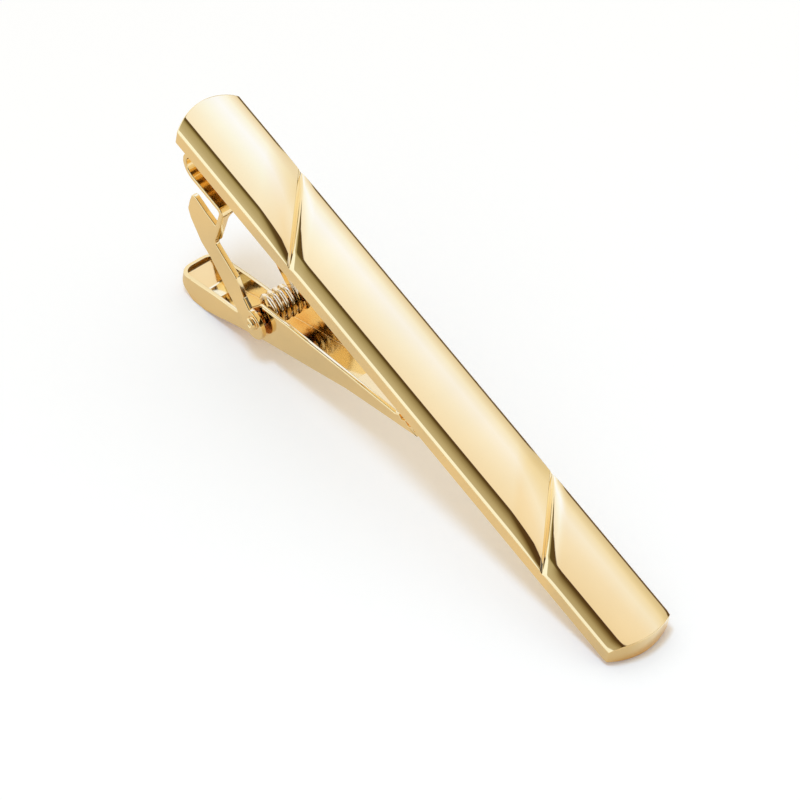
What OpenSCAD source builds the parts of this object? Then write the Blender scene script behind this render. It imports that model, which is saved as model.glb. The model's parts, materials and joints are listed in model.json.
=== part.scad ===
// Gold tie clip: a crowned front bar with two slanted grooves, a folded bracket on its back,
// and a sprung, toothed jaw that turns on a rivet. The bar lies along X, its front faces +Z,
// its back is at z = 0 and the middle of its back is the origin. Millimetres.

/* [Front bar] */
// Length of the bar
bar_len = 58; // [48:1:75]
// Width of the bar
bar_w = 6; // [5.6:0.1:8]
// Height of the bar's plain sides
bar_side_h = 1.68; // [1.2:0.04:3]
// Height of the crown above the sides
crown_h = 0.78; // [0.4:0.02:1]
// Width of the bevel along each long edge
bevel_w = 1.1; // [0.6:0.1:1.8]
// How far each end of the bar bows outward
end_bow = 0.85; // [0.3:0.05:1.5]
// Distance of each groove from the middle of the bar
groove_x = 16.4; // [6:0.2:22]
// Slant of the grooves from square across, in degrees
groove_slant = 48; // [20:1:55]
// Width of each groove at the surface
groove_w = 0.8; // [0.4:0.05:1.4]
// Depth of each groove below the surface
groove_depth = 0.42; // [0.2:0.02:0.8]

/* [Bracket] */
// Thickness of the bracket's sheet
sheet_t = 0.45; // [0.35:0.01:0.55]
// Width of the bracket over its cheeks
bracket_w = 5.2; // [4.9:0.1:5.6]
// Outer radius of the hairpin bend
hairpin_r = 1.5; // [1.1:0.05:1.8]
// Distance from the bar's end to the middle of the hairpin bend
hairpin_inset = 3.1; // [1.6:0.1:5]
// Length of the leg that is soldered to the bar's back
base_leg_len = 12; // [8:0.5:12.5]
// Length of the lower leg, up to the web
lower_leg_len = 3.6; // [3:0.1:4.4]
// Height of the web from the lower leg down to the foot of its necks
web_h = 4.35; // [3.4:0.05:5]
// How far the web leans back over its height
web_lean = 0.45; // [0.2:0.05:0.8]
// Width of each neck beside the arch
neck_w = 0.8; // [0.7:0.02:0.9]
// Gap of the relief cut between the lower leg and the cheek's top edge, at the web
relief_h = 2.2; // [1.4:0.05:2.4]
// Radius of the rounded eye round the rivet
eye_r = 1.42; // [1.3:0.02:1.8]

/* [Hinge] */
// Distance along the bar from the hairpin bend to the hinge
pivot_run = 9.4; // [8.6:0.1:10.5]
// Depth of the hinge below the bar's back
pivot_drop = 11.55; // [10.6:0.05:12.5]
// Diameter of the rivet
pin_d = 1.1; // [0.8:0.02:1.2]
// How far the rivet stands proud of each cheek
pin_proud = 0.4; // [0.2:0.02:0.6]
// Running clearance of the rivet in the jaw, on the radius
pin_gap = 0.05; // [0.02:0.01:0.1]

/* [Jaw] */
// Thickness of the jaw's sheet
jaw_t = 0.35; // [0.25:0.01:0.42]
// Clearance between the jaw and each cheek
side_gap = 0.3; // [0.2:0.02:0.36]
// Distance from the hinge to the toothed lip
jaw_front_len = 19.5; // [16:0.1:24]
// Distance from the hinge to the end of the tail
jaw_tail_len = 10.4; // [9.4:0.1:12]
// Depth of the tail below the hinge
tail_drop = 8; // [7.2:0.1:9]
// Radius of the tail's corners, seen from above
tail_corner_r = 1.3; // [0.6:0.05:1.5]
// Clearance between the teeth and the bar's back when the clip is closed
tooth_gap = 0.05; // [0.02:0.01:0.2]
// Depth of the teeth
tooth_h = 0.5; // [0.3:0.02:0.8]
// Number of teeth across the lip
lip_teeth = 4; // [3:1:5]
// Number of small teeth on each wall's edge near the lip
wall_teeth = 3; // [2:1:4]

/* [Spring] */
// Diameter of the spring's wire
wire_d = 0.32; // [0.22:0.01:0.32]
// Outer diameter of the spring's coil
coil_od = 2.85; // [2.5:0.05:3.1]
// Whole turns of the coil, besides the part turn between the legs
full_turns = 3; // [2:1:3]
// Clearance between the coil and each wall of the jaw
coil_side_gap = 0.14; // [0.1:0.01:0.2]
// Clearance between the coil and the rivet that it hangs on
coil_rest_gap = 0.05; // [0.03:0.01:0.1]

/* [Hidden] */
gold = "#e3c078";
pale_steel = "#d8d2c4";
// Overrun of the cuts
over = 1;
// Sides of round parts
round_sides = 64;
// Sides of the wide ring that cuts a groove
ring_sides = 256;
// Most of each side that a rounded corner may take
side_limit_share = 0.48;
// Points of a rounded corner, and the half angle past which it counts as straight
corner_steps = 5;
straight_half_angle = 88;
whole_turn = 360;
// Points of the hairpin bend
hairpin_steps = 18;
// Points of the crown's arc
crown_steps = 10;

// Share of the crown's height that the bevel climbs, and that the groove's bed follows
bevel_rise_share = 0.68;
groove_follow_share = 0.9;

// Places that the bracket and the hinge share
hairpin_x = hairpin_inset - bar_len / 2;
lower_z = -2 * hairpin_r;
web_x = hairpin_x + lower_leg_len;
relief_z = lower_z - relief_h;
neck_foot_z = lower_z - web_h;
pivot_x = hairpin_x + pivot_run;
pivot_z = -pivot_drop;
cheek_reach = pivot_run;
cheek_rise = relief_z - pivot_z;
// Radius of the bend from the lower leg into the web, and of the sheet's outline corners
web_bend_r = 0.25;
cheek_corner_r = 0.5;
arch_corner_r = 0.9;
base_corner_r = 1.4;
// Gap above the arch, below the lower leg
arch_gap = 0.1;
// Clearance of the rivet in the cheeks, where it is set fast
rivet_fit = 0.01;
// The eye's middle, from the hinge, as shares of its radius
eye_shift_share = [-0.11, -0.3];
// The cheek's outline from the hinge, as shares of its reach and rise: under the wing, from
// the tip back to the eye, and over the arm, from the neck's foot down to the eye
wing_tip_share = [-0.98, 1.1];
wing_top_share = [-0.78, 1.03];
wing_under_shares = [[-1.0, 0.88], [-1.005, 0.71], [-0.955, 0.59], [-0.78, 0.36], [-0.65, 0.285], [-0.17, -0.17]];
arm_top_shares = [[-0.295, 0.465], [-0.165, 0.235], [0.01, 0.05]];

// The jaw: widths that follow the bracket, and the rise from the hinge to the teeth
jaw_w = bracket_w - 2 * sheet_t - 2 * side_gap;
jaw_inner_w = jaw_w - 2 * jaw_t;
front_rise = pivot_drop - tooth_gap;
tray_bend_r = 0.7;
edge_corner_r = 0.6;
wall_tooth_h = 0.3;
// Outlines of the jaw from the hinge. Tail shares are of its length and drop, and front
// shares of its length and rise.
tail_end_shares = [[1.0, 0.845], [0.978, 0.91]];
tail_floor_shares = [[0.77, 1.0], [0.618, 0.918], [-0.048, 0.308]];
front_floor_shares = [[0.372, 0.158], [0.551, 0.353], [0.669, 0.46], [0.867, 0.643], [1.0, 0.765]];
tail_top_shares = [[0.268, 0.35], [0.528, 0.512]];
front_top_shares = [[0.533, 0.52], [0.154, 0.262]];
wall_end_share = 0.83;
teeth_from_share = [0.974, 0.771];
teeth_to_share = [0.846, 0.726];
ear_corner_share = [-0.02, 0.126];
// Where the spring's lower leg rests along the tail's floor
leg_seat_share = 0.13;

// The spring
coil_r = (coil_od - wire_d) / 2;
coil_lift = coil_r - wire_d / 2 - pin_d / 2 - coil_rest_gap;
coil_c = [pivot_x, pivot_z + coil_lift];
coil_half_len = jaw_inner_w / 2 - coil_side_gap - wire_d / 2;
// The upper leg's end: how far past the web, how far it comes in from the coil's end, and
// the clearance of both legs from what they press on
upper_seat_run = 0.3;
leg_in = 0.3;
leg_gap = 0.02;
curl_rings = 8;
wire_sides = 6;

function unit(v) = v / norm(v);
function mix(a, b, share) = a + (b - a) * share;
function left_of(v) = [-v[1], v[0]];
function turn_between(a0, a1) =
    let (d = (a1 - a0) % whole_turn)
    d > whole_turn / 2 ? d - whole_turn : (d < -whole_turn / 2 ? d + whole_turn : d);

// The corner at b as an arc of radius r, limited by its two sides, or b itself if straight
function corner(a, b, c, r) =
    let (u = unit(a - b), w = unit(c - b), half = acos(max(-1, min(1, u * w))) / 2)
    half > straight_half_angle ? [b] :
    let (
        d = min([r / tan(half), side_limit_share * norm(a - b), side_limit_share * norm(c - b)]),
        rr = d * tan(half),
        m = b + unit(u + w) * rr / sin(half),
        p = b + u * d - m,
        q = b + w * d - m,
        a0 = atan2(p[1], p[0]),
        turn = turn_between(a0, atan2(q[1], q[0]))
    )
    [for (i = [0 : corner_steps]) m + rr * [cos(a0 + turn * i / corner_steps), sin(a0 + turn * i / corner_steps)]];

// An open path, and a closed outline, with every corner rounded
function soft_path(pts, r) =
    let (n = len(pts))
    concat([pts[0]], [for (i = [1 : n - 2]) each corner(pts[i - 1], pts[i], pts[i + 1], r)], [pts[n - 1]]);
function soft_outline(pts, r) =
    let (n = len(pts))
    [for (i = [0 : n - 1]) each corner(pts[(i + n - 1) % n], pts[i], pts[(i + 1) % n], r)];

// A path moved to its left by d, with mitred corners
function beside(pts, d) =
    let (n = len(pts), side = [for (i = [0 : n - 2]) left_of(unit(pts[i + 1] - pts[i]))])
    [for (i = [0 : n - 1])
        let (p = side[max(0, i - 1)], q = side[min(n - 2, i)])
        pts[i] + (p + q) * d / (1 + p * q)];
function reversed(pts) = [for (i = [len(pts) - 1 : -1 : 0]) pts[i]];

// Points of an arc over the chord from a to b, rising by sag to its left
function arc_over(a, b, sag, steps) =
    let (
        c = norm(b - a) / 2,
        r = (c * c + sag * sag) / (2 * sag),
        m = (a + b) / 2 - left_of(unit(b - a)) * (r - sag),
        half = asin(c / r),
        mid = atan2(left_of(b - a)[1], left_of(b - a)[0])
    )
    [for (i = [0 : steps]) m + r * [cos(mid + half * (1 - 2 * i / steps)), sin(mid + half * (1 - 2 * i / steps))]];

// An outline drawn in x and z, as a slab across the width
module slab(pts, w) {
    rotate([90, 0, 0])
        linear_extrude(height = w, center = true)
            polygon(pts);
}

// A hole along the hinge
module hinge_hole(r) {
    translate([pivot_x, 0, pivot_z])
        rotate([90, 0, 0])
            cylinder(h = bracket_w + 2 * over, r = r, center = true, $fn = round_sides);
}

// The bar: section points from the near side's foot over the crown to the far side's foot
bevel_rise = crown_h * bevel_rise_share;
crown_half = bar_w / 2 - bevel_w;
crown_top = arc_over([-crown_half, bar_side_h + bevel_rise], [crown_half, bar_side_h + bevel_rise],
                     crown_h - bevel_rise, crown_steps);
bar_section = concat([[-bar_w / 2, 0], [-bar_w / 2, bar_side_h]], crown_top,
                     [[bar_w / 2, bar_side_h], [bar_w / 2, 0]]);

// Outline of the bar from the front, with its bowed ends
module bar_plan() {
    end_r = (bar_w * bar_w / 4 + end_bow * end_bow) / (2 * end_bow);
    square([bar_len - 2 * end_bow, bar_w], center = true);
    for (side = [-1, 1])
        intersection() {
            translate([side * (bar_len / 2 - end_r), 0])
                circle(r = end_r, $fn = ring_sides);
            translate([side * bar_len / 4, 0])
                square([bar_len / 2, bar_w], center = true);
        }
}

// One groove: a ring with a V edge, as a wheel cuts it, so that its bed follows the crown
module groove_ring() {
    chord = bar_w / 2 / cos(groove_slant);
    sag = crown_h * groove_follow_share;
    bed_r = (chord * chord + sag * sag) / (2 * sag);
    flank = groove_w / 2 / groove_depth;
    rotate([0, 0, groove_slant - 90])
        translate([0, 0, bar_side_h + crown_h - groove_depth - bed_r])
            rotate([90, 0, 0])
                rotate_extrude($fn = ring_sides)
                    polygon([[bed_r, 0], [bed_r + over, flank * over], [bed_r + over, -flank * over]]);
}

module bar() {
    color(gold)
        difference() {
            intersection() {
                rotate([90, 0, 90])
                    linear_extrude(height = bar_len, center = true)
                        polygon(bar_section);
                linear_extrude(height = bar_side_h + crown_h + over)
                    bar_plan();
            }
            for (side = [-1, 1])
                translate([side * groove_x, 0, 0])
                    groove_ring();
        }
}

// The bracket: the outer side of its folded strip, from the soldered leg's end, round the
// hairpin bend, along under the lower leg and down the back of the web
strip_outer = concat(
    [[hairpin_x + base_leg_len, 0]],
    [for (i = [0 : hairpin_steps - 1])
        let (a = 90 + 180 * i / hairpin_steps)
        [hairpin_x + hairpin_r * cos(a), hairpin_r * (sin(a) - 1)]],
    soft_path([[hairpin_x, lower_z], [web_x, lower_z], [web_x - web_lean, neck_foot_z]], web_bend_r));
strip_inner = beside(strip_outer, sheet_t);
strip = concat(strip_outer, reversed(strip_inner));
web_face = beside([[web_x, lower_z], [web_x - web_lean, neck_foot_z]], sheet_t);
web_face_top = mix(web_face[0], web_face[1], (relief_z - lower_z) / (neck_foot_z - lower_z));

function from_hinge(share, reach, rise) = [pivot_x + share[0] * reach, pivot_z + share[1] * rise];
cheek = soft_outline(concat(
    [for (s = wing_under_shares) from_hinge(s, cheek_reach, cheek_rise)],
    [for (s = reversed(arm_top_shares)) from_hinge(s, cheek_reach, cheek_rise)],
    [web_face[1], web_face_top],
    [from_hinge(wing_top_share, cheek_reach, cheek_rise), from_hinge(wing_tip_share, cheek_reach, cheek_rise)]
), cheek_corner_r);

// The arch between the necks, as a window through the web
module arch() {
    arch_w = bracket_w - 2 * neck_w;
    top = lower_z - arch_gap;
    translate([web_x - web_lean - over, 0, 0])
        rotate([90, 0, 90])
            linear_extrude(height = web_lean + sheet_t + 2 * over) {
                translate([-arch_w / 2, neck_foot_z - over])
                    square([arch_w, top - arch_corner_r - neck_foot_z + over]);
                translate([-arch_w / 2 + arch_corner_r, neck_foot_z])
                    square([arch_w - 2 * arch_corner_r, top - neck_foot_z]);
                for (side = [-1, 1])
                    translate([side * (arch_w / 2 - arch_corner_r), top - arch_corner_r])
                        circle(r = arch_corner_r, $fn = round_sides);
            }
}

// What the soldered leg's two end corners lose
module base_corners() {
    for (side = [-1, 1])
        translate([hairpin_x + base_leg_len, side * bracket_w / 2, -sheet_t - over])
            linear_extrude(height = sheet_t + 2 * over)
                difference() {
                    square(2 * base_corner_r, center = true);
                    translate([-base_corner_r, -side * base_corner_r])
                        circle(r = base_corner_r, $fn = round_sides);
                }
}

module bracket() {
    color(gold)
        difference() {
            union() {
                difference() {
                    slab(strip, bracket_w);
                    arch();
                    base_corners();
                }
                for (side = [-1, 1])
                    translate([0, side * (bracket_w - sheet_t) / 2, 0]) {
                        slab(cheek, sheet_t);
                        translate([pivot_x + eye_shift_share[0] * eye_r, 0, pivot_z + eye_shift_share[1] * eye_r])
                            rotate([90, 0, 0])
                                cylinder(h = sheet_t, r = eye_r, center = true, $fn = round_sides);
                    }
            }
            hinge_hole(pin_d / 2 + rivet_fit);
        }
}

// The jaw: the outside of its tray from the tail's end under the floor to the lip's teeth,
// and its walls' top edge back from the lip to the tail
function at_tail(s) = [pivot_x - s[0] * jaw_tail_len, pivot_z - s[1] * tail_drop];
function at_front(s) = [pivot_x + s[0] * jaw_front_len, pivot_z + s[1] * front_rise];
tray_corners = concat([for (s = tail_end_shares) at_tail(s)], [for (s = tail_floor_shares) at_tail(s)],
                      [for (s = front_floor_shares) at_front(s)], [[pivot_x + jaw_front_len, -tooth_gap]]);
tray_outer = soft_path(tray_corners, tray_bend_r);
tray_inner = beside(tray_outer, jaw_t);
lip_tip = tray_inner[len(tray_inner) - 1];
teeth_from = at_front(teeth_from_share);
teeth_to = at_front(teeth_to_share);
wall_tooth_points = [for (i = [0 : 2 * wall_teeth])
    mix(teeth_from, teeth_to, i / (2 * wall_teeth)) + [0, i % 2 == 1 ? wall_tooth_h : 0]];
wall_top = soft_path(concat(
    [teeth_to],
    [for (s = front_top_shares) at_front(s)],
    [at_front(ear_corner_share)],
    [for (s = tail_top_shares) at_tail(s)],
    [at_tail(tail_end_shares[0])]), edge_corner_r);
jaw_side = concat(tray_outer, [lip_tip], [[lip_tip[0], pivot_z + wall_end_share * front_rise]], wall_tooth_points,
                  [for (i = [1 : len(wall_top) - 2]) wall_top[i]]);
pocket = concat(tray_inner, [[lip_tip[0], over]], [[tray_inner[0][0], over]]);

// A tall prism over the jaw's plan, with rounded corners at the tail
module tail_plan(w, r, x0) {
    run = jaw_front_len + jaw_tail_len + over;
    translate([0, 0, pivot_z - tail_drop - over])
        linear_extrude(height = tail_drop + pivot_drop + 3 * over) {
            translate([x0 + r, -w / 2])
                square([run, w]);
            translate([x0, -w / 2 + r])
                square([run, w - 2 * r]);
            for (side = [-1, 1])
                translate([x0 + r, side * (w / 2 - r)])
                    circle(r = r, $fn = round_sides);
        }
}

// The notches between the lip's teeth
module lip_notches() {
    pitch = jaw_w / lip_teeth;
    translate([pivot_x + jaw_front_len - jaw_t - over, 0, -tooth_gap])
        rotate([90, 0, 90])
            linear_extrude(height = jaw_t + 2 * over)
                for (i = [0 : lip_teeth])
                    translate([(i - lip_teeth / 2) * pitch, 0])
                        polygon([[0, -tooth_h], [pitch / 2, 0], [pitch / 2, over], [-pitch / 2, over], [-pitch / 2, 0]]);
}

module jaw() {
    tail_x = pivot_x - jaw_tail_len;
    color(gold)
        difference() {
            intersection() {
                slab(jaw_side, jaw_w);
                tail_plan(jaw_w, tail_corner_r, tail_x);
            }
            intersection() {
                slab(pocket, jaw_inner_w);
                tail_plan(jaw_inner_w, tail_corner_r - jaw_t, tray_inner[0][0]);
            }
            hinge_hole(pin_d / 2 + pin_gap);
            lip_notches();
        }
}

// The rivet: chamfered ends with a shallow punched hollow in each
module hinge_pin() {
    r = pin_d / 2;
    half = bracket_w / 2 + pin_proud;
    chamfer = r / 4;
    hollow = r / 2;
    color(gold)
        translate([pivot_x, 0, pivot_z])
            rotate([90, 0, 0])
                rotate_extrude($fn = round_sides)
                    polygon([[0, -half + hollow / 2], [hollow, -half], [r - chamfer, -half], [r, -half + chamfer],
                             [r, half - chamfer], [r - chamfer, half], [hollow, half], [0, half - hollow / 2]]);
}

// The spring: where its legs end, the angles where they leave the coil, and its wire's line
floor_a = at_tail(tail_floor_shares[1]);
floor_b = at_tail(tail_floor_shares[2]);
upper_seat = [web_x - upper_seat_run, lower_z - wire_d / 2 - leg_gap];
lower_seat = mix(floor_a, floor_b, leg_seat_share)
    + left_of(unit(floor_b - floor_a)) * (jaw_t + wire_d / 2 + leg_gap);
function leave_angle(seat, way) =
    let (v = seat - coil_c)
    atan2(v[1], v[0]) - way * acos(coil_r / norm(v));
upper_angle = leave_angle(upper_seat, 1);
lower_angle = leave_angle(lower_seat, -1);
part_turn = ((upper_angle - lower_angle) % whole_turn + whole_turn) % whole_turn;
wound = whole_turn * full_turns + part_turn;
coil_rings = round(curl_rings * wound / whole_turn);
function on_coil(i) =
    let (a = upper_angle - wound * i / coil_rings)
    [coil_c[0] + coil_r * cos(a), coil_half_len * (1 - 2 * i / coil_rings), coil_c[1] + coil_r * sin(a)];
function out_of_coil(i) =
    let (a = upper_angle - wound * min(max(i, 0), coil_rings) / coil_rings)
    [cos(a), 0, sin(a)];
wire_line = concat(
    [[upper_seat[0], coil_half_len - leg_in, upper_seat[1]]],
    [for (i = [0 : coil_rings]) on_coil(i)],
    [[lower_seat[0], -coil_half_len, lower_seat[1]]]);
wire_count = len(wire_line);

// A ring of the wire's points round its line at place k
function wire_ring(k) =
    let (
        ahead = unit(wire_line[min(k + 1, wire_count - 1)] - wire_line[max(k - 1, 0)]),
        out = out_of_coil(k - 1),
        n = unit(out - ahead * (out * ahead)),
        b = cross(ahead, n)
    )
    [for (j = [0 : wire_sides - 1])
        let (a = whole_turn * j / wire_sides)
        wire_line[k] + wire_d / 2 * (n * cos(a) + b * sin(a))];
wire_points = [for (k = [0 : wire_count - 1]) each wire_ring(k)];
wire_faces = concat(
    [for (k = [0 : wire_count - 2], j = [0 : wire_sides - 1])
        let (a = k * wire_sides + j, b = k * wire_sides + (j + 1) % wire_sides)
        each [[a, b, b + wire_sides], [a, b + wire_sides, a + wire_sides]]],
    [for (j = [1 : wire_sides - 2]) [0, j + 1, j]],
    [for (j = [1 : wire_sides - 2])
        let (e = (wire_count - 1) * wire_sides)
        [e, e + j, e + j + 1]]);
least_gap = min([for (i = [0 : wire_count - 1], j = [0 : wire_count - 1])
    if (j - i >= curl_rings / 2) norm(wire_line[i] - wire_line[j]) - wire_d]);

module spring() {
    echo(spring_least_gap = least_gap);
    color(pale_steel)
        polyhedron(points = wire_points, faces = wire_faces);
}

bar();
bracket();
jaw();
hinge_pin();
spring();
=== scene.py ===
"""Looks of the gold tie clip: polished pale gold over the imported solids, in a pale tent."""

import json
import math

import bmesh
import bpy
from mathutils import Matrix, Vector


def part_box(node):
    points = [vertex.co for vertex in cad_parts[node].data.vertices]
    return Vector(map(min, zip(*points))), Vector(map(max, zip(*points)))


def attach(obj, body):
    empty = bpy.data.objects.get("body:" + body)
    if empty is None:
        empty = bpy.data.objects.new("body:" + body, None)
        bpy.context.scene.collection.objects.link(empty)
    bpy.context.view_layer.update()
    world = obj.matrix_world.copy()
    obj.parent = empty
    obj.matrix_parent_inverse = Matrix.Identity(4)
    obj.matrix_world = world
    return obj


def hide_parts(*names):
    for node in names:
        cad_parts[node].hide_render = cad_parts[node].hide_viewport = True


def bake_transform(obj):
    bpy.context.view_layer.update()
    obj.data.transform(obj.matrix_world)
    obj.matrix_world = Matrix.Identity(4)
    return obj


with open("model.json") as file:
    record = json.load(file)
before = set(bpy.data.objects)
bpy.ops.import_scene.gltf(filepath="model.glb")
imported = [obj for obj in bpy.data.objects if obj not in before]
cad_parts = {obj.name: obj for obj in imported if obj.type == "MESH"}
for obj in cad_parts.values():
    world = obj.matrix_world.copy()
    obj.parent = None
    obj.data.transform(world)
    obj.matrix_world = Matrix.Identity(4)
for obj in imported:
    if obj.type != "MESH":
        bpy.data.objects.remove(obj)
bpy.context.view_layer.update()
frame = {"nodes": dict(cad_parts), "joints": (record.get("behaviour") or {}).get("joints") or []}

MM = 0.001

# The hinge and the pieces' boxes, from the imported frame
HINGE = Vector(frame["joints"][0]["pos_m"])
BAR_LOW, BAR_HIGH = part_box("bar")
JAW_LOW, JAW_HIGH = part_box("jaw")
PIN_LOW, PIN_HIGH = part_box("hinge_pin")


def link(obj):
    bpy.context.scene.collection.objects.link(obj)
    return obj


def mesh_object(name, verts, faces):
    mesh = bpy.data.meshes.new(name)
    mesh.from_pydata([tuple(v) for v in verts], [], faces)
    mesh.validate()
    mesh.update()
    return link(bpy.data.objects.new(name, mesh))


def smooth(obj):
    for face in obj.data.polygons:
        face.use_smooth = True
    return obj


# A corner's normal takes in only the faces that turn away from its own by less than this
SHADE_TURN = math.radians(50)


def even_shading(obj):
    """Applies the modifiers. Then each corner's normal is the mean of the faces round it by area,
    in square millimetres, so that flat faces stay flat to the eye."""
    mesh = bpy.data.meshes.new_from_object(obj.evaluated_get(bpy.context.evaluated_depsgraph_get()))
    obj.modifiers.clear()
    obj.data = mesh
    smooth(obj)
    faces = [(face.normal.copy(), face.area / MM ** 2) for face in mesh.polygons]
    around = [[] for _ in mesh.vertices]
    for face in mesh.polygons:
        for v in face.vertices:
            around[v].append(faces[face.index])
    near = math.cos(SHADE_TURN)
    normals = []
    for face in mesh.polygons:
        own = faces[face.index][0]
        for v in face.vertices:
            total = Vector()
            for normal, area in around[v]:
                if normal.dot(own) > near:
                    total += normal * area
            normals.append(total.normalized() if total.length > 0 else own)
    mesh.normals_split_custom_set(normals)
    return obj


# Camera, at the photograph's angle

CAM_TARGET = Vector((0.1726, -1.739, -1.0578)) * MM
CAM_DISTANCE = 686 * MM
CAM_AZIMUTH = math.radians(43.942)
CAM_ELEVATION = math.radians(58.016)
CAM_ROLL = math.radians(11.116)
CAM_LENS = 398.617
CAM_SENSOR = 36.0
CAM_NEAR = 0.01
CAM_FAR = 20.0


def make_camera():
    flat = math.cos(CAM_ELEVATION)
    back = Vector((math.sin(CAM_AZIMUTH) * flat, -math.cos(CAM_AZIMUTH) * flat, math.sin(CAM_ELEVATION)))
    data = bpy.data.cameras.new("camera")
    data.lens = CAM_LENS
    data.sensor_width = CAM_SENSOR
    data.clip_start = CAM_NEAR
    data.clip_end = CAM_FAR
    camera = link(bpy.data.objects.new("camera", data))
    turn = (-back).to_track_quat("-Z", "Y").to_matrix().to_4x4() @ Matrix.Rotation(CAM_ROLL, 4, "Z")
    camera.matrix_world = Matrix.Translation(CAM_TARGET + back * CAM_DISTANCE) @ turn
    bpy.context.scene.camera = camera


# Materials

# Reflected colours of the gold plating and of the paler wire
GOLD_COLOUR = (0.96, 0.775, 0.44)
WIRE_COLOUR = (0.95, 0.85, 0.68)
# Painted shade and painted reflection in folds and hollows, as base colours by how open they are,
# how far a fold reaches, the openness at which the painted shade starts and is full, and the
# roughness that folds add
FOLD_PAINTED_SHADE = [(0.0, (0.30, 0.10, 0.02)), (0.1, (0.85, 0.42, 0.09)), (0.3, (0.98, 0.64, 0.22))]
FOLD_REACH = 2.5 * MM
FOLD_OPEN = 0.6
FOLD_CLOSED = 0.3
FOLD_ROUGHNESS = 0.12
FOLD_SAMPLES = 6
# Scale and detail of the noises in the plating's colour, gloss, waves and grain
TINT_NOISE = (220.0, 2.0)
GLOSS_NOISE = (900.0, 4.0)
WAVE_NOISE = (250.0, 1.0)
GRAIN_NOISE = (6000.0, 2.0)
# The duller patches of the colour, the noise at which they end and the full colour starts, and
# the least and most of the roughness, as shares
DULL_SHARE = 0.965
TINT_PLACES = (0.3, 0.7)
ROUGHNESS_SHARES = (0.7, 1.4)
# Roughness, and depth of the waves and of the grain, of each plating
BAR_FINISH = (0.055, 0.0012 * MM, 0.00002 * MM)
SHEET_FINISH = (0.08, 0.002 * MM, 0.00004 * MM)
WIRE_FINISH = (0.06, 0.002 * MM, 0.00005 * MM)
# How much of the painted fold shade the wire takes
WIRE_PAINTED_SHADE_SHARE = 0.1
# The sockets of a Mix node that mixes colours
MIX_SHARE = 0
MIX_FIRST = 6
MIX_SECOND = 7
MIX_RESULT = 2


def new_material(name):
    material = bpy.data.materials.new(name)
    material.use_nodes = True
    return material, material.node_tree


def fill(tree, socket, value):
    """Gives a socket a plain value, or links it to another socket."""
    if isinstance(value, bpy.types.NodeSocket):
        tree.links.new(value, socket)
    else:
        socket.default_value = value


def math_node(tree, operation, *values):
    node = tree.nodes.new("ShaderNodeMath")
    node.operation = operation
    for socket, value in zip(node.inputs, values):
        fill(tree, socket, value)
    return node.outputs["Value"]


def mix_colours(tree, share, first, second):
    node = tree.nodes.new("ShaderNodeMix")
    node.data_type = "RGBA"
    fill(tree, node.inputs[MIX_SHARE], share)
    fill(tree, node.inputs[MIX_FIRST], first)
    fill(tree, node.inputs[MIX_SECOND], second)
    return node.outputs[MIX_RESULT]


def object_axes(tree):
    """X, Y and Z in the object's own axes."""
    parts = tree.nodes.new("ShaderNodeSeparateXYZ")
    place = tree.nodes.new("ShaderNodeTexCoord")
    tree.links.new(place.outputs["Object"], parts.inputs["Vector"])
    return parts.outputs


def noise(tree, place, scale, detail):
    node = tree.nodes.new("ShaderNodeTexNoise")
    node.inputs["Scale"].default_value = scale
    node.inputs["Detail"].default_value = detail
    tree.links.new(place.outputs["Object"], node.inputs["Vector"])
    return node.outputs["Fac"]


def bump(tree, height, depth, under=None):
    node = tree.nodes.new("ShaderNodeBump")
    node.inputs["Distance"].default_value = depth
    tree.links.new(height, node.inputs["Height"])
    if under:
        tree.links.new(under, node.inputs["Normal"])
    return node.outputs["Normal"]


def map_range(tree, value, low, high, to_low, to_high, soft=False):
    node = tree.nodes.new("ShaderNodeMapRange")
    node.interpolation_type = "SMOOTHSTEP" if soft else "LINEAR"
    node.inputs["From Min"].default_value = low
    node.inputs["From Max"].default_value = high
    node.inputs["To Min"].default_value = to_low
    node.inputs["To Max"].default_value = to_high
    tree.links.new(value, node.inputs["Value"])
    return node.outputs["Result"]


def ramp(tree, value, stops):
    node = tree.nodes.new("ShaderNodeValToRGB")
    elements = node.color_ramp.elements
    while len(elements) < len(stops):
        elements.new(0.5)
    for element, (place, colour) in zip(elements, stops):
        element.position = place
        element.color = tuple(colour) + (1.0,)
    tree.links.new(value, node.inputs["Fac"])
    return node.outputs["Color"]


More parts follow.
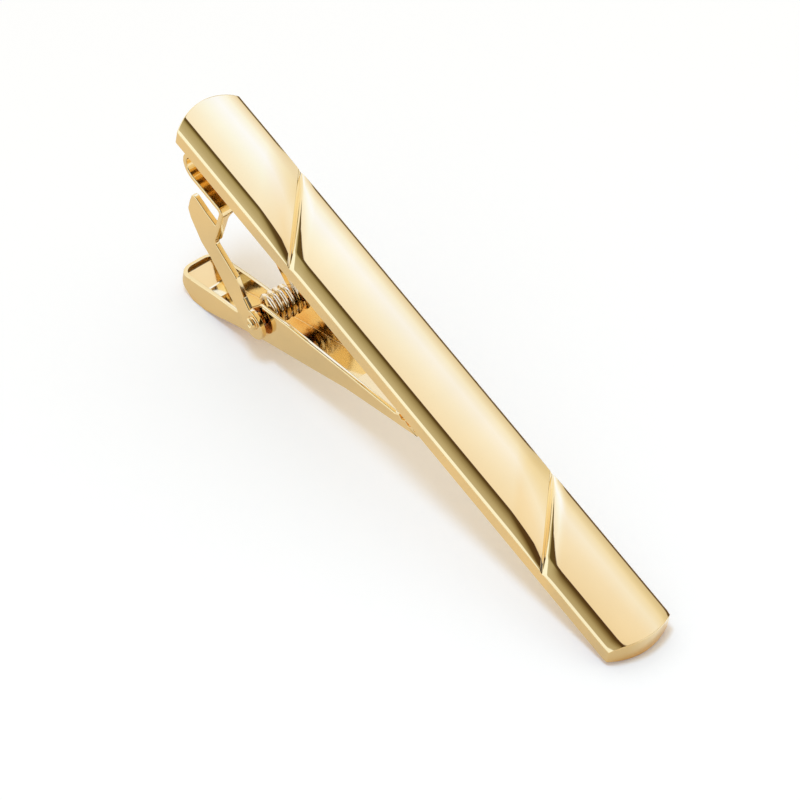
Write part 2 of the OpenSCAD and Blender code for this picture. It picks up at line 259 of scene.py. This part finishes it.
def gold(name, colour, roughness, wave_depth, grain_depth, painted_shade_share=1.0):
    """Polished plating: a slow waviness left by pressing and polishing, a fine grain, and a
    little variation of gloss and of colour. In folds and hollows the base colour is painted darker
    and a deep orange by how closed they are, a painted shade and painted reflection of the plating
    mirroring itself many times."""
    material, tree = new_material(name)
    shader = tree.nodes["Principled BSDF"]
    place = tree.nodes.new("ShaderNodeTexCoord")
    duller = tuple(c * DULL_SHARE for c in colour)
    tint = ramp(tree, noise(tree, place, *TINT_NOISE), list(zip(TINT_PLACES, (duller, colour))))
    fold = tree.nodes.new("ShaderNodeAmbientOcclusion")
    fold.samples = FOLD_SAMPLES
    fold.inputs["Distance"].default_value = FOLD_REACH
    openness = fold.outputs["AO"]
    depth = map_range(tree, openness, FOLD_OPEN, FOLD_CLOSED, 0.0, painted_shade_share, True)
    # The base colour takes the painted fold shade and painted reflection by how deep the fold is
    painted_fold_colour = mix_colours(tree, depth, tint, ramp(tree, openness, FOLD_PAINTED_SHADE))
    tree.links.new(painted_fold_colour, shader.inputs["Base Color"])
    shader.inputs["Metallic"].default_value = 1.0
    least, most = (roughness * share for share in ROUGHNESS_SHARES)
    gloss = map_range(tree, noise(tree, place, *GLOSS_NOISE), 0.0, 1.0, least, most)
    haze = math_node(tree, "MULTIPLY_ADD", depth, FOLD_ROUGHNESS, gloss)
    tree.links.new(haze, shader.inputs["Roughness"])
    wave = bump(tree, noise(tree, place, *WAVE_NOISE), wave_depth)
    grain = bump(tree, noise(tree, place, *GRAIN_NOISE), grain_depth, wave)
    tree.links.new(grain, shader.inputs["Normal"])
    return material


# The bar: one skin over a grid of places along it and across it. Its crown, bevels and soft
# edges are arcs, and each panel falls away towards the grooves.

CROWN_RISE = 0.25 * MM
BEVEL_W = 0.98 * MM
# Height of the flat side, and width and rise of the soft edge above it
NEAR_SIDE = (1.49 * MM, 0.18 * MM, 0.22 * MM)
FAR_SIDE = (1.74 * MM, 0.05 * MM, 0.06 * MM)
SWELL = math.radians(8)
END_BOW = 0.85 * MM
GROOVE_X = 16.4 * MM
GROOVE_SLANT = math.radians(48)
GROOVE_DEPTH = 0.12 * MM
GROOVE_SOFT = 0.03 * MM
# Width and steepness of a groove's wall, towards the bar's -X end and towards the other
GROOVE_WIDTH = (0.17 * MM, 0.4 * MM)
GROOVE_POWER = (1, 2)
# The share of the height above FALL_FROM that the panels lose at a groove, and how far from it
# and how steeply they fall, towards the bar's -X end and towards the other
FALL_SHARE = 0.45
FALL_FROM = 1.5 * MM
FALL_REACH = (3.0 * MM, 1.5 * MM)
FALL_POWER = (2, 3)
# The columns slant like the grooves as far as SLANT_HOLD past them, and stand straight across
# from SLANT_END before the bar's end
SLANT_HOLD = 4 * MM
SLANT_END = 1 * MM
EDGE_ROUND = 0.04 * MM
BACK_ROUND = 0.12 * MM
END_ROUND = 0.2 * MM
ARC_STEPS = 8
EDGE_STEPS = 2
# Steps between the columns at an end, by a groove, on a panel's fall and elsewhere, how far past
# a groove its step is kept, and the least step before the end
STEP_END = 0.02 * MM
STEP_GROOVE = 0.03 * MM
STEP_FALL = 0.15 * MM
STEP_PLAIN = 0.4 * MM
GROOVE_PAST = 0.1 * MM
STEP_LEAST = 0.01 * MM


def arc_points(centre, radius, start, end, steps):
    return [
        (centre[0] + radius * math.cos(a), centre[1] + radius * math.sin(a))
        for a in (start + (end - start) * i / steps for i in range(steps + 1))
    ]


def swelling(start, end, swell, steps):
    """Points on an arc from start to end, which bulges by swell at each end of its chord."""
    (y0, z0), (y1, z1) = start, end
    chord = math.hypot(y1 - y0, z1 - z0)
    radius = chord / 2 / math.sin(swell)
    along = math.atan2(z1 - z0, y1 - y0)
    first = along + math.pi / 2 + swell
    centre = (y0 - radius * math.cos(first), z0 - radius * math.sin(first))
    return arc_points(centre, radius, first, first - 2 * swell, steps)


def side_profile(half_w, height, side_h, edge_w, edge_rise):
    """Points (width, z) from a side, up its soft edge, over the bevel to the crown's middle."""
    side = (-half_w, side_h)
    turn = (-half_w + EDGE_ROUND / 2, side_h + EDGE_ROUND)
    edge = (-half_w + edge_w, side_h + edge_rise)
    crease = (-half_w + BEVEL_W, height - CROWN_RISE)
    crown_swell = math.atan2(CROWN_RISE, half_w - BEVEL_W)
    points = swelling(side, turn, SWELL, EDGE_STEPS)
    points += swelling(turn, edge, SWELL, ARC_STEPS)[1:]
    points += swelling(edge, crease, SWELL, ARC_STEPS)[1:]
    return points + swelling(crease, (0, height), crown_swell, 2 * ARC_STEPS)[1:]


def bar_profile(half_w, height):
    """Top points (y, z) from the near side to the far side."""
    near = side_profile(half_w, height, *NEAR_SIDE)
    far = side_profile(half_w, height, *FAR_SIDE)
    return near + [(-y, z) for y, z in reversed(far[:-1])]


def columns(half_len):
    """Places along the bar, close together at its ends and by the grooves."""
    out = []
    u = -half_len
    while u < half_len - STEP_LEAST:
        across = abs(abs(u) - GROOVE_X) * math.cos(GROOVE_SLANT)
        from_end = half_len - abs(u)
        out.append(u)
        if from_end < END_ROUND:
            u += STEP_END
        elif across < max(GROOVE_WIDTH) + GROOVE_PAST:
            u += STEP_GROOVE
        elif across < max(FALL_REACH):
            u += STEP_FALL
        else:
            u += STEP_PLAIN
    return out + [half_len]


def ease(t):
    t = max(0.0, min(1.0, t))
    return t * t * (3 - 2 * t)


def rounded_drop(inset, radius):
    return radius - math.sqrt(max(0.0, radius ** 2 - max(0.0, inset) ** 2))


def make_bar():
    half_len, half_w, height = BAR_HIGH.x, BAR_HIGH.y, BAR_HIGH.z
    top = bar_profile(half_w, height)
    shear = math.tan(GROOVE_SLANT)
    places = columns(half_len)
    slant_from = GROOVE_X + SLANT_HOLD
    groove_floor = FALL_FROM - GROOVE_DEPTH
    verts, faces = [], []
    for u in places:
        side = 1 if u > 0 else -1
        s = (u - side * GROOVE_X) * math.cos(GROOVE_SLANT)
        right = 1 if s > 0 else 0
        fall = FALL_SHARE * max(0.0, 1 - abs(s) / FALL_REACH[right]) ** FALL_POWER[right]
        soft = math.sqrt(s ** 2 + GROOVE_SOFT ** 2) - GROOVE_SOFT
        cut = GROOVE_DEPTH * max(0.0, 1 - soft / GROOVE_WIDTH[right]) ** GROOVE_POWER[right]
        skew = 1 - ease((abs(u) - slant_from) / (half_len - SLANT_END - slant_from))
        end_share = ease((abs(u) - GROOVE_X) / (half_len - GROOVE_X))
        drop = rounded_drop(END_ROUND - (half_len - abs(u)), END_ROUND)
        for y, z in top:
            if z > FALL_FROM:
                z = FALL_FROM + (z - FALL_FROM) * (1 - fall)
            under = rounded_drop(abs(y) - half_w + BACK_ROUND, BACK_ROUND)
            z = max(z - cut, groove_floor) - drop
            x = u - skew * shear * y - side * END_BOW * (y / half_w) ** 2 * end_share
            y *= 1 - drop / half_w
            verts.append((x, y, z))
            verts.append((x, y, under + drop))
    rows = 2 * len(top)
    for i in range(len(places) - 1):
        a, b = i * rows, (i + 1) * rows
        for j in range(0, rows - 2, 2):
            faces.append((a + j, b + j, b + j + 2, a + j + 2))
            faces.append((a + j + 1, a + j + 3, b + j + 3, b + j + 1))
        faces.append((a, a + 1, b + 1, b))
        faces.append((a + rows - 2, b + rows - 2, b + rows - 1, a + rows - 1))
    last = (len(places) - 1) * rows
    for j in range(0, rows - 2, 2):
        faces.append((j, j + 2, j + 3, j + 1))
        faces.append((last + j, last + j + 1, last + j + 3, last + j + 2))
    return even_shading(mesh_object("front_bar", verts, faces))


# Pressed pieces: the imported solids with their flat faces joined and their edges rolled

# Over RIM_TAPER, in RIM_CUTS steps, the rolls come in from nothing and the rims end. The
# underside's rolls come in UNDER_RIM later.
RIM_TAPER = 1.5 * MM
RIM_CUTS = 5
UNDER_RIM = 4.5 * MM
# Corners within MERGE of each other are joined, and those within CUT_SLACK of a cut lie on it.
# Faces that turn by less than FLAT become one, and edges that turn by more than SHARP are rolled.
MERGE = 0.02 * MM
CUT_SLACK = 0.001 * MM
FLAT = math.radians(0.6)
SHARP = math.radians(28)
# The least sideways share of an outer side's direction
SIDEWAYS = 0.99
# Width of the rolls on plain edges and on the outer rims, and their number of steps
BRACKET_EDGE = 0.06 * MM
BRACKET_RIM = 0.1 * MM
BRACKET_STEPS = 3
JAW_EDGE = 0.05 * MM
JAW_RIM = 0.16 * MM
JAW_STEPS = 4
# Where the jaw's rolls start, from its tail, and where its wide rims end, from its tip
JAW_TAIL_PLAIN = 1.7 * MM
JAW_TIP_PLAIN = 2 * MM


def pressed(node, name, edge, rim, rim_from, rim_to, steps):
    """edge rolls the sharp edges, and rim those of the outer sides as far as rim_to along x.
    Both come in from nothing at rim_from."""
    mesh = frame["nodes"][node].data.copy()
    mesh.materials.clear()
    obj = link(bpy.data.objects.new(name, mesh))
    edit = bmesh.new()
    edit.from_mesh(mesh)
    bmesh.ops.remove_doubles(edit, verts=edit.verts, dist=MERGE)
    bmesh.ops.dissolve_limit(edit, angle_limit=FLAT, verts=edit.verts, edges=edit.edges)
    for start in (rim_from, rim_from + UNDER_RIM, rim_to - RIM_TAPER):
        for k in range(RIM_CUTS + 1):
            geom = edit.verts[:] + edit.edges[:] + edit.faces[:]
            at = (start + RIM_TAPER * k / RIM_CUTS, 0, 0)
            bmesh.ops.bisect_plane(edit, geom=geom, dist=CUT_SLACK, plane_co=at, plane_no=(1, 0, 0))
    weight = edit.edges.layers.float.new("bevel_weight_edge")
    half = max(v.co.y for v in edit.verts)
    flanks = [f for f in edit.faces if abs(f.normal.y) > SIDEWAYS]
    outer = [f for f in flanks if abs(f.verts[0].co.y) > half - edge]
    for line in edit.edges:
        x = (line.verts[0].co.x + line.verts[1].co.x) / 2
        if line.calc_face_angle(0.0) > SHARP:
            share = ease((rim_to - x) / RIM_TAPER) * any(f in outer for f in line.link_faces)
            under = sum(f.normal.z for f in line.link_faces) < 0
            fade = ease((x - rim_from - UNDER_RIM * under) / RIM_TAPER)
            line[weight] = (edge + (rim - edge) * share) / rim * fade
    edit.to_mesh(mesh)
    edit.free()
    bevel = obj.modifiers.new("rolled edges", "BEVEL")
    bevel.width = rim
    bevel.segments = steps
    bevel.limit_method = "WEIGHT"
    bevel.use_clamp_overlap = False
    return even_shading(obj)


def make_bracket():
    ends = (2 * BAR_LOW.x, BAR_HIGH.x)
    return pressed("bracket", "folded_bracket", BRACKET_EDGE, BRACKET_RIM, *ends, BRACKET_STEPS)


def make_jaw():
    ends = (JAW_LOW.x + JAW_TAIL_PLAIN, JAW_HIGH.x - JAW_TIP_PLAIN)
    return pressed("jaw", "toothed_jaw", JAW_EDGE, JAW_RIM, *ends, JAW_STEPS)


# The spring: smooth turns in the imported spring's place. COIL_LIFT is how far the coil's middle
# lies above the hinge, COIL_HALF is half its length, and LEG_IN is how far inside it the upper
# leg's end lies. The seats are the legs' ends (x, z).

WIRE_R = 0.2 * MM
COIL_R = 1.22 * MM
COIL_LIFT = 0.505 * MM
COIL_HALF = 1.2 * MM
FULL_TURNS = 4
LEG_IN = 0.3 * MM
LEG_STEPS = 12
TURN_STEPS = 40
WIRE_SIDES = 16
UPPER_SEAT = Vector((-22.6, -3.24)) * MM
LOWER_SEAT = Vector((-22.32, -17.74)) * MM


def leave_angle(centre, seat, way):
    v = seat - centre
    return math.atan2(v.y, v.x) - way * math.acos(COIL_R / v.length)


def spring_line():
    """The wire's middle line and, at each point, the way out of the coil."""
    centre = Vector((HINGE.x, HINGE.z + COIL_LIFT))
    first = leave_angle(centre, UPPER_SEAT, 1)
    last = leave_angle(centre, LOWER_SEAT, -1)
    wound = math.tau * FULL_TURNS + (first - last) % math.tau
    count = round(TURN_STEPS * wound / math.tau)
    coil, ways = [], []
    for i in range(count + 1):
        a = first - wound * i / count
        way = Vector((math.cos(a), 0, math.sin(a)))
        coil.append(Vector((centre.x, COIL_HALF * (1 - 2 * i / count), centre.y)) + COIL_R * way)
        ways.append(way)
    top = Vector((UPPER_SEAT.x, COIL_HALF - LEG_IN, UPPER_SEAT.y))
    foot = Vector((LOWER_SEAT.x, -COIL_HALF, LOWER_SEAT.y))
    upper = [top.lerp(coil[0], i / LEG_STEPS) for i in range(LEG_STEPS)]
    lower = [coil[-1].lerp(foot, (i + 1) / LEG_STEPS) for i in range(LEG_STEPS)]
    return upper + coil + lower, [ways[0]] * LEG_STEPS + ways + [ways[-1]] * LEG_STEPS


def tube(name, line, ways, radius, sides):
    verts, faces = [], []
    last = len(line) - 1
    for k, at in enumerate(line):
        ahead = (line[min(k + 1, last)] - line[max(k - 1, 0)]).normalized()
        n = (ways[k] - ahead * ways[k].dot(ahead)).normalized()
        b = ahead.cross(n)
        for j in range(sides):
            a = math.tau * j / sides
            verts.append(at + radius * (n * math.cos(a) + b * math.sin(a)))
    for k in range(last):
        for j in range(sides):
            a, b = k * sides + j, k * sides + (j + 1) % sides
            faces.append((a, b, b + sides, a + sides))
    faces.append(tuple(range(sides - 1, -1, -1)))
    faces.append(tuple(last * sides + j for j in range(sides)))
    return smooth(mesh_object(name, verts, faces))


# The rivet: a lathe form with domed heads, each with a shallow punched hollow and a neck under it

# How far in from the rivet's end the head and then the neck reach
RIVET_HEAD = 0.26 * MM
RIVET_SEAT = 0.4 * MM
RIVET_SIDES = 48
# Shares of the radius: the head's round edge, the hollow's width and depth, and the neck
DOME_SHARE = 0.42
HOLLOW_SHARE = 0.4
DEEP_SHARE = 0.7
NECK_SHARE = 0.72
# Width and depth of the edge of the hollow's floor, and depth of its rim, as shares of the hollow
HOLLOW_FLOOR_SHARE = 0.6
HOLLOW_WALL_SHARE = 0.85
HOLLOW_RIM_SHARE = 0.2
# Slope under the head, as a share of the neck's depth
NECK_SLOPE_SHARE = 0.5
# Points closer than this are one
LATHE_MERGE = 0.0001 * MM


def lathe(name, profile, sides, centre):
    """profile is (radius, y) from one end's axis to the other's."""
    verts, faces = [], []
    for radius, y in profile:
        for j in range(sides):
            a = math.tau * j / sides
            verts.append(centre + Vector((radius * math.cos(a), y, radius * math.sin(a))))
    for k in range(len(profile) - 1):
        for j in range(sides):
            a, b = k * sides + j, k * sides + (j + 1) % sides
            faces.append((a, b, b + sides, a + sides))
    obj = mesh_object(name, verts, faces)
    edit = bmesh.new()
    edit.from_mesh(obj.data)
    bmesh.ops.remove_doubles(edit, verts=edit.verts, dist=LATHE_MERGE)
    bmesh.ops.recalc_face_normals(edit, faces=edit.faces)
    edit.to_mesh(obj.data)
    edit.free()
    return smooth(obj)


def make_rivet():
    radius = (PIN_HIGH.x - PIN_LOW.x) / 2
    half = (PIN_HIGH.y - PIN_LOW.y) / 2
    dome = radius * DOME_SHARE
    hollow = radius * HOLLOW_SHARE
    deep = radius * DEEP_SHARE
    neck = radius * NECK_SHARE
    under_head = half - RIVET_HEAD
    seat = half - RIVET_SEAT
    end = [(0.0, half - deep), (hollow * HOLLOW_FLOOR_SHARE, half - deep * HOLLOW_WALL_SHARE)]
    end += [(hollow, half - deep * HOLLOW_RIM_SHARE)]
    end += arc_points((radius - dome, half - dome), dome, math.pi / 2, 0.0, ARC_STEPS)
    end += [(radius, under_head), (neck, under_head - (radius - neck) * NECK_SLOPE_SHARE)]
    end += [(neck, seat), (radius, seat)]
    return lathe("rivet", end + [(r, -y) for r, y in reversed(end)], RIVET_SIDES, HINGE)


# The stage. The clip lies on a white floor that leans back with the clip: the floor touches the
# bar's +X end and the tail of the jaw. The clip rests on that tail, so the floor goes with the
# jaw, and opening the jaw lifts the bar. The floor's glow is only for camera, glossy and
# transmission rays.

FLOOR_R = 0.16
FLOOR_WHITE = (0.9, 0.9, 0.9, 1.0)
FLOOR_GLOW = 0.12
FLOOR_GAP = 0.05 * MM
DISC_STEPS = 96
TAIL_LOW_X = -24.4 * MM
# A card on the near side of the floor, which only the gold mirrors: a painted shade of the floor
# near the clip in warm tones, with a painted glow of warm light. CARD_EDGE is where, along its Y,
# it turns from the painted shade to white.
CARD_R = 0.06
CARD_PAINTED_SHADE = [(0.35, (0.60, 0.53, 0.42)), (0.65, (0.76, 0.63, 0.44))]
CARD_NOISE = (90.0, 1.0)
CARD_EDGE = (-1.5 * MM, 2.5 * MM)
CARD_PAINTED_GLOW = (0.12, 0.10, 0.08)
CARD_GAP = 0.02 * MM


def light_path_share(tree):
    """1 for camera, glossy and transmission rays, and 0 for the rest."""
    path = tree.nodes.new("ShaderNodeLightPath")
    share = path.outputs["Is Camera Ray"]
    for name in ("Is Glossy Ray", "Is Transmission Ray"):
        share = math_node(tree, "MAXIMUM", share, path.outputs[name])
    return share


def glossy_only(obj):
    obj.visible_camera = False
    obj.visible_diffuse = False
    obj.visible_shadow = False
    obj.visible_transmission = False


def floor_disc(name, radius, gap):
    """A disc under the clip, by the gap below the plane of the bar's end and the jaw's tail."""
    turns = [math.tau * i / DISC_STEPS for i in range(DISC_STEPS)]
    rim = [Vector((math.cos(a), math.sin(a), 0)) * radius for a in turns]
    faces = [(0, i + 1, (i + 1) % DISC_STEPS + 1) for i in range(DISC_STEPS)]
    disc = mesh_object(name, [(0, 0, 0)] + rim, faces)
    tail = Vector((TAIL_LOW_X, 0, JAW_LOW.z))
    end = Vector((BAR_HIGH.x, 0, 0))
    lean = math.atan2(end.z - tail.z, end.x - tail.x)
    down = Vector((math.sin(lean), 0, -math.cos(lean))) * gap
    disc.matrix_world = Matrix.Translation((tail + end) / 2 + down) @ Matrix.Rotation(-lean, 4, "Y")
    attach(disc, "jaw")
    return disc


def matt(tree):
    shader = tree.nodes["Principled BSDF"]
    shader.inputs["Roughness"].default_value = 1.0
    shader.inputs["Specular IOR Level"].default_value = 0.0
    return shader


def make_floor():
    material, tree = new_material("white_floor")
    shader = matt(tree)
    shader.inputs["Base Color"].default_value = FLOOR_WHITE
    glow = tree.nodes.new("ShaderNodeEmission")
    glow.inputs["Strength"].default_value = FLOOR_GLOW
    add = tree.nodes.new("ShaderNodeAddShader")
    tree.links.new(shader.outputs["BSDF"], add.inputs[0])
    tree.links.new(glow.outputs["Emission"], add.inputs[1])
    mix = tree.nodes.new("ShaderNodeMixShader")
    tree.links.new(light_path_share(tree), mix.inputs["Fac"])
    tree.links.new(shader.outputs["BSDF"], mix.inputs[1])
    tree.links.new(add.outputs["Shader"], mix.inputs[2])
    tree.links.new(mix.outputs["Shader"], tree.nodes["Material Output"].inputs["Surface"])
    floor_disc("floor", FLOOR_R, FLOOR_GAP).data.materials.append(material)


def make_painted_shade_card():
    material, tree = new_material("painted_shade_card")
    shader = matt(tree)
    place = tree.nodes.new("ShaderNodeTexCoord")
    far = map_range(tree, object_axes(tree)["Y"], *CARD_EDGE, 0.0, 1.0)
    # The card's colour is a painted warm shade of the floor, which gives way to white further out
    warm = ramp(tree, noise(tree, place, *CARD_NOISE), CARD_PAINTED_SHADE)
    tree.links.new(mix_colours(tree, far, warm, FLOOR_WHITE), shader.inputs["Base Color"])
    # A painted glow of warm light, though the card is no lamp
    shader.inputs["Emission Color"].default_value = CARD_PAINTED_GLOW + (1.0,)
    shader.inputs["Emission Strength"].default_value = 1.0
    card = floor_disc("painted_shade_card", CARD_R, CARD_GAP)
    card.data.materials.append(material)
    glossy_only(card)


# The tent that the gold mirrors: a tunnel along the bar. Its shades are (degrees, colour), by the
# angle round the bar from the far horizon over the top to the near one. It is brighter at the left.

TENT_R = 0.25
TENT_HALF = 0.6
TENT_STEPS = 128
TENT_FROM = -9
TENT_TO = 181
TENT_LEFT = [
    (-9, (0.12, 0.09, 0.05)),
    (7, (0.16, 0.12, 0.07)),
    (9, (0.88, 0.86, 0.85)),
    (22, (0.98, 1.02, 1.20)),
    (37, (1.04, 1.20, 1.60)),
    (50, (1.05, 1.27, 2.10)),
    (66, (1.04, 1.22, 1.70)),
    (80, (1.03, 1.12, 1.38)),
    (96, (1.02, 1.04, 1.18)),
    (98, (0.10, 0.06, 0.02)),
    (115, (0.13, 0.10, 0.04)),
    (119, (0.30, 0.26, 0.13)),
    (124, (0.46, 0.42, 0.28)),
    (135, (0.54, 0.51, 0.38)),
    (146, (0.64, 0.62, 0.52)),
    (148, (1.10, 1.25, 1.45)),
    (181, (1.05, 1.15, 1.30)),
]
TENT_RIGHT = [
    (-9, (0.10, 0.06, 0.03)),
    (7, (0.13, 0.08, 0.04)),
    (9, (0.72, 0.66, 0.55)),
    (22, (0.82, 0.76, 0.62)),
    (37, (0.95, 0.92, 0.86)),
    (50, (1.00, 1.04, 1.22)),
    (66, (0.98, 0.94, 0.95)),
    (80, (0.96, 0.90, 0.86)),
    (96, (0.92, 0.84, 0.76)),
    (98, (0.08, 0.04, 0.02)),
    (119, (0.10, 0.06, 0.02)),
    (126, (0.26, 0.20, 0.10)),
    (135, (0.45, 0.40, 0.27)),
    (146, (0.54, 0.49, 0.38)),
    (148, (1.05, 1.15, 1.30)),
    (181, (1.00, 1.08, 1.20)),
]
# Where along the tent the left shades end and the right ones start, where its dark band starts
# and ends, towards its +X end, and how bright that band is
TENT_BLEND = (-0.128, -0.060)
TENT_DARK = (0.09, 0.12)
TENT_DARK_END = (0.30, 0.34)
TENT_DARK_SHARE = 0.12


def make_tent():
    span = TENT_TO - TENT_FROM
    verts, faces = [], []
    for i in range(TENT_STEPS + 1):
        a = math.radians(TENT_FROM + span * i / TENT_STEPS)
        for x in (-TENT_HALF, TENT_HALF):
            verts.append((x, TENT_R * math.cos(a), TENT_R * math.sin(a)))
    for i in range(TENT_STEPS):
        faces.append((2 * i, 2 * i + 1, 2 * i + 3, 2 * i + 2))
    tent = smooth(mesh_object("tent", verts, faces))
    material, tree = new_material("tent")
    tree.nodes.remove(tree.nodes["Principled BSDF"])
    axes = object_axes(tree)
    angle = math_node(tree, "ARCTAN2", axes["Z"], axes["Y"])
    share = map_range(tree, angle, math.radians(TENT_FROM), math.radians(TENT_TO), 0.0, 1.0)
    left, right = (
        ramp(tree, share, [((a - TENT_FROM) / span, colour) for a, colour in shades])
        for shades in (TENT_LEFT, TENT_RIGHT)
    )
    along = map_range(tree, axes["X"], *TENT_BLEND, 0.0, 1.0)
    before = map_range(tree, axes["X"], *TENT_DARK, 1.0, TENT_DARK_SHARE, True)
    after = map_range(tree, axes["X"], *TENT_DARK_END, TENT_DARK_SHARE, 1.0, True)
    glow = tree.nodes.new("ShaderNodeEmission")
    tree.links.new(mix_colours(tree, along, left, right), glow.inputs["Color"])
    tree.links.new(math_node(tree, "MAXIMUM", before, after), glow.inputs["Strength"])
    tree.links.new(glow.outputs["Emission"], tree.nodes["Material Output"].inputs["Surface"])
    tent.data.materials.append(material)
    glossy_only(tent)


# Light on the floor: a warm ambience and a cool, soft lamp high above it, a little to the near
# left, which together are close to white

AMBIENT = (0.82, 0.73, 0.60)
KEY_PLACE = (-0.06, -0.08, 0.48)
KEY_SIZE = 0.1
KEY_POWER = 0.72
KEY_COLOUR = (0.64, 1.0, 1.46)
WHITE = (1.0, 1.0, 1.0, 1.0)


def make_lights():
    world = bpy.data.worlds.new("white_tent")
    bpy.context.scene.world = world
    world.use_nodes = True
    tree = world.node_tree
    back = tree.nodes["Background"]
    shown = mix_colours(tree, light_path_share(tree), AMBIENT + (1.0,), WHITE)
    tree.links.new(shown, back.inputs["Color"])

    lamp = bpy.data.lights.new("key", "AREA")
    lamp.size = KEY_SIZE
    lamp.energy = KEY_POWER
    lamp.color = KEY_COLOUR
    key = link(bpy.data.objects.new("key", lamp))
    key.location = KEY_PLACE
    key.rotation_euler = (-Vector(KEY_PLACE)).to_track_quat("-Z", "Y").to_euler()
    key.visible_glossy = False


def dress(obj, node, body, material):
    """A piece without a body of its own is left without one."""
    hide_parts(node)
    if body:
        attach(obj, body)
    obj.data.materials.clear()
    obj.data.materials.append(material)


make_camera()
make_lights()
make_floor()
make_painted_shade_card()
make_tent()

bar_gold = gold("bar_gold", GOLD_COLOUR, *BAR_FINISH)
sheet_gold = gold("sheet_gold", GOLD_COLOUR, *SHEET_FINISH)
wire_gold = gold("wire_gold", WIRE_COLOUR, *WIRE_FINISH, WIRE_PAINTED_SHADE_SHARE)

dress(make_bar(), "bar", "root", bar_gold)
dress(make_bracket(), "bracket", "root", sheet_gold)
dress(make_jaw(), "jaw", "jaw", sheet_gold)
dress(make_rivet(), "hinge_pin", "root", sheet_gold)
wire = tube("wound_spring", *spring_line(), WIRE_R, WIRE_SIDES)
dress(wire, "spring", None, wire_gold)
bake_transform(wire)

bpy.context.scene.view_settings.view_transform = "Standard"
